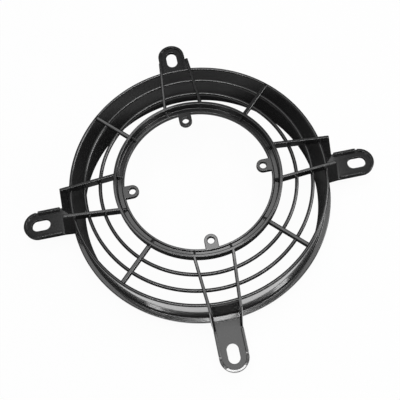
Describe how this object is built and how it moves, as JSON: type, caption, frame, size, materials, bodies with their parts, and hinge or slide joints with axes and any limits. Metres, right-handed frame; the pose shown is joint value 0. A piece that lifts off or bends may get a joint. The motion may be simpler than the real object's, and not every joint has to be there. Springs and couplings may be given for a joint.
{
  "type": "moulded fan guard",
  "caption": "Round black plastic fan guard: a deep collar with a mounting flange, a concentric ring grille round an open hub, and slotted lugs on twin-rib arms.",
  "frame": {"origin": "on the fan axis, in the plane of the spigot's open end", "axes": "+Z along the fan axis, from the spigot towards the grille; +X and +Y along two of the four lug arms"},
  "size_m": [0.2888, 0.2888, 0.0548],
  "materials": {
    "guard_plastic": "black moulded plastic, satin to glossy"
  },
  "bodies": {
    "root": {"fan_guard": "guard_plastic"}
  },
  "joints": []
}
